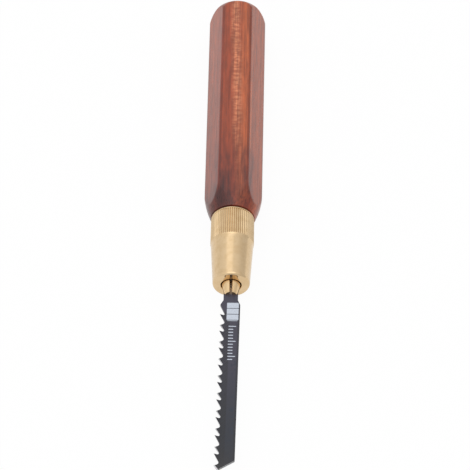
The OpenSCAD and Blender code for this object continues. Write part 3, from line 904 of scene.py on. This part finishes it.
def shank_side(side):
    """One side of the shank, from its rear end to the end of the neck."""
    lug_end = shank_end + nub_len + lug_len
    return [Vector((side * w, a)) for w, a in (
        (nub_w / 2 - nub_chamfer, shank_end), (nub_w / 2, shank_end + nub_chamfer), (nub_w / 2, shank_end + nub_len),
        (lug_w / 2, shank_end + nub_len), (lug_w / 2, lug_end), (neck_w / 2, lug_end + lug_slope),
        (neck_w / 2, neck_end))]


def deepest(i):
    """The deepest point of a gullet."""
    return gullet_centre(i) + Vector((gullet_r, 0))


last = tooth_count - 1
back_corner = Vector((back_side, tip_at(last).y - end_cut_back))
end_cut_way = Vector((-math.cos(end_cut), math.sin(end_cut)))
end_on_gullets = crossing(back_corner, end_cut_way, deepest(0), Vector((0, 1)))
blade_start = neck_end + blade_shoulder


def last_tooth(grind=0.0):
    """The last tooth, whose back runs to the slanted end of the blade."""
    back_way = gullet_behind(tip_at(last), last + 1)[1] - tip_at(last)
    point = crossing(tip_at(last, grind), back_way, back_corner, end_cut_way)
    return round_gullet(last, 0, math.pi / 2 + tooth_rake) + [tip_at(last, grind), point, end_on_gullets]


round_the_back = [back_corner, Vector((back_side, blade_start))] + shank_side(1)[::-1] + shank_side(-1)
round_the_back += gullet_behind(Vector((-tooth_side, blade_start)), 0)
behind_teeth = [deepest(i) + Vector((blade_bevel, 0)) for i in range(1, last + 1)]
in_last_tooth = len(last_tooth())


def on_plate(p, above, share):
    """A point of the plate, which leans past the neck and has its last tooth set downwards."""
    place = leaning(p) if p.y > neck_end + blade_bevel else p
    at_last = p.y > deepest(last).y - blade_bevel
    return on_saw(place.x, place.y, bent(above, share, -1) if at_last else above)


def on_bench(p, above, share):
    """A point of the loose tooth, which is made at the origin and set upwards."""
    return Vector((p.x - deepest(0).x, deepest(0).y - p.y, bent(above, share, 1))) * MM


plate = blade_piece("blade_plate", last_tooth(back_grind) + round_the_back, last_tooth() + round_the_back,
                    [(0, in_last_tooth, []), (in_last_tooth - 1, None, behind_teeth)], on_plate, (1, 0.3, 0.3))
tooth = blade_piece("saw_teeth", tooth_outline(0), tooth_outline(0, back_grind), [(0, None, [])], on_bench)

# Every other tooth is the first one turned over, so that it is set and ground to the other side
tree, sizes = new_tree("set_teeth", ("Pitch", "Lean"), Start="Vector", Count="Int")
back_pitch = product(tree, sizes["Pitch"], -1.0)
step = node(tree, "ShaderNodeCombineXYZ", {
    0: product(tree, sum_up(tree, "SINE", sizes["Lean"]), back_pitch),
    1: product(tree, sum_up(tree, "COSINE", sizes["Lean"]), back_pitch)}).outputs[0]
row = node(tree, "GeometryNodeMeshLine", {
    "Count": sizes["Count"], "Start Location": sizes["Start"], "Offset": step}, mode="OFFSET").outputs[0]
number = node(tree, "GeometryNodeInputIndex").outputs[0]
side = sum_up(tree, "MULTIPLY_ADD", sum_up(tree, "MODULO", number, 2.0), -2.0, 1.0)
turn = node(tree, "ShaderNodeCombineXYZ", {2: product(tree, sizes["Lean"], -1.0)}).outputs[0]
teeth = node(tree, "GeometryNodeInstanceOnPoints", {
    "Points": row, "Instance": sizes["Shape"], "Rotation": turn,
    "Scale": node(tree, "ShaderNodeCombineXYZ", {0: 1.0, 1: 1.0, 2: side}).outputs[0]}).outputs[0]
end_tree(tree, teeth, sizes["Finish"])
set_teeth = tree


def within(tree, value, low, high, soft=0.06):
    """1 where a value lies between two places, with soft ends."""
    return product(tree, ranged(tree, value, low - soft, low + soft), ranged(tree, value, high + soft, high - soft))


black_steel = (0.014, 0.0170, 0.028, 1)
ground_steel = (0.004, 0.004, 0.006, 1)
browned_steel = (0.020, 0.018, 0.020, 1)
blued_steel = (0.042, 0.038, 0.062, 1)
blotched_steel = (0.012, 0.020, 0.038, 1)
back_steel = (0.006, 0.006, 0.008, 1)
bright_steel = (0.70, 0.70, 0.71, 1)
brass_rub = (0.84, 0.65, 0.44, 1)
print_white = (0.55, 0.60, 0.68, 1)
ground_width = 2.1
ground_soft = 0.25
grinding_lean = 1.2
back_band = 0.8
back_soft = 0.15
blued_from = 62
browned_from = 112
browned_full = 126
rub_start = 31.5
rub_end = 40.0
rub_half = 2.1
mark_start = 44.9
mark_end = 54.5
mark_low = -1.4
mark_high = 3.4
mark_corner = 0.8
mark_line = 0.28
mark_line_step = 3.0
tick_start = 57.0
tick_end = 74.5
tick_step = 1.5
tick_width = 0.42
tick_foot = -0.5
tick_top = 1.5
long_tick_rise = 1.1
long_tick_every = 5
print_depth = 0.05

steel, tree, surface = new_material("blackened_steel")
leaned = node(tree, "ShaderNodeMapping", {
    "Vector": measured(tree), "Location": (0, -neck_end, 0)}).outputs[0]
leaned = node(tree, "ShaderNodeMapping", {
    "Vector": leaned, "Rotation": (0, 0, -blade_lean), "Location": (0, neck_end, 0)}).outputs[0]
across, along, above = separated(tree, leaned)
scale_noise = noise(tree, leaned, 0.6, 4.0)
fine_noise = noise(tree, leaned, 6.0, 3.0)
slanted = sum_up(tree, "MULTIPLY_ADD", across, grinding_lean, along)
slanted = sum_up(tree, "MULTIPLY_ADD", scale_noise, 0.8, slanted)
grinding = noise(tree, slanted, 3.2, 3.0, "1D")

# The black skin is bluer near the neck, darker where it was ground along the teeth and in a band along the back,
# and browner towards the point
ground_from = gullet_line + ground_width
toothed = product(tree, ranged(tree, across, ground_from + ground_soft, ground_from - ground_soft),
                  ranged(tree, along, blade_start + 3.0, blade_start + 4.5))
blued = product(tree, ranged(tree, along, blued_from, browned_from, 1.0, 0.0),
                ranged(tree, scale_noise, 0.35, 0.65, 0.75, 1.1))
colour = blended(tree, blued, black_steel, blued_steel)
ground_off = product(tree, toothed, ranged(tree, grinding, 0.35, 0.60, 0.0, 0.9))
colour = blended(tree, ground_off, colour, ground_steel)
blotch = product(tree, ranged(tree, scale_noise, 0.52, 0.66), ranged(tree, across, 0.0, 2.0, 0.0, 0.8))
colour = blended(tree, blotch, colour, blotched_steel)
colour = blended(tree, ranged(tree, along, browned_from, browned_full, 0.0, 0.8), colour, browned_steel)
band_from = back_side - back_band
band = ranged(tree, across, band_from - back_soft, band_from + back_soft, 0.0, 0.6)
colour = blended(tree, band, colour, back_steel)


def past_flat(tree, value, low, high):
    """How far a place lies past the straight part of the printed block's side, towards its round corners."""
    off = sum_up(tree, "ABSOLUTE", sum_up(tree, "SUBTRACT", value, (high + low) / 2))
    return sum_up(tree, "MAXIMUM", 0.0, sum_up(tree, "SUBTRACT", off, (high - low) / 2 - mark_corner))


# The print is a white block with round corners and straight lines across it, and a row of plain ticks
past = diagonal(tree, past_flat(tree, across, mark_low, mark_high), past_flat(tree, along, mark_start, mark_end))
split = sum_up(tree, "FRACT", sum_up(tree, "DIVIDE", sum_up(tree, "SUBTRACT", along, mark_start), mark_line_step))
line_share = mark_line / mark_line_step
block = product(tree, ranged(tree, past, mark_corner + 0.05, mark_corner - 0.07),
                ranged(tree, split, line_share, line_share + 0.02))
past_first = sum_up(tree, "SUBTRACT", along, tick_start)
tick = sum_up(tree, "FRACT", sum_up(tree, "DIVIDE", past_first, tick_step))
tick_share = tick_width / tick_step
group = sum_up(tree, "FRACT", sum_up(tree, "DIVIDE", past_first, tick_step * long_tick_every))
long_tick = sum_up(tree, "LESS_THAN", group, 1 / long_tick_every)
tick_end_across = sum_up(tree, "MULTIPLY_ADD", long_tick, long_tick_rise, tick_top)
ticks = product(tree, ranged(tree, tick, tick_share + 0.03, tick_share - 0.03),
                within(tree, along, tick_start, tick_end), ranged(tree, across, tick_foot, tick_foot + 0.1),
                sum_up(tree, "LESS_THAN", across, tick_end_across))
printed = product(tree, sum_up(tree, "MAXIMUM", block, ticks), ranged(tree, fine_noise, 0.34, 0.42, 0.55, 1.0),
                  sum_up(tree, "GREATER_THAN", above, blade_t / 2 - print_depth))
colour = blended(tree, printed, colour, print_white)

# The ground faces of the teeth are bright, and the jaws have left a patch of their brass on the shank
bright = node(tree, "ShaderNodeAttribute", attribute_name="ground").outputs["Fac"]
colour = blended(tree, bright, colour, bright_steel)
rubbed = product(tree, within(tree, along, rub_start, rub_end, 1.4), within(tree, across, -rub_half, rub_half, 1.0),
                 ranged(tree, fine_noise, 0.36, 0.60, 0.6, 1.0), ranged(tree, scale_noise, 0.35, 0.58, 0.6, 1.0))
colour = blended(tree, rubbed, colour, brass_rub)
tree.links.new(sum_up(tree, "MAXIMUM", bright, rubbed), surface.inputs["Metallic"])
rough = ranged(tree, scale_noise, 0.3, 0.7, 0.30, 0.42)
rough = sum_up(tree, "MULTIPLY_ADD", rubbed, 0.35, rough)
rough = sum_up(tree, "MULTIPLY_ADD", printed, 0.2, rough)
uneven = sum_up(tree, "MULTIPLY_ADD", product(tree, grinding, toothed), 2.0, fine_noise)
surfaced(tree, surface, colour, rough, height=uneven, strength=0.5, depth=0.01)

first_place = leaning(deepest(0))
worked(tooth, set_teeth, steel, {
    "Start": on_saw(first_place.x, first_place.y, 0), "Count": last, "Pitch": tooth_pitch * MM, "Lean": blade_lean})
mesh = bmesh.new()
mesh.from_mesh(plate.data)
mesh.from_mesh(tooth.data)
for part in (plate, tooth):
    bpy.data.objects.remove(part)
blade = new_piece("steel_saw_blade", mesh)
smooth(blade, sharp_angle=9)
blade.data.materials.clear()
blade.data.materials.append(steel)
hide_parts("saw_blade")
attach(blade, "blade")
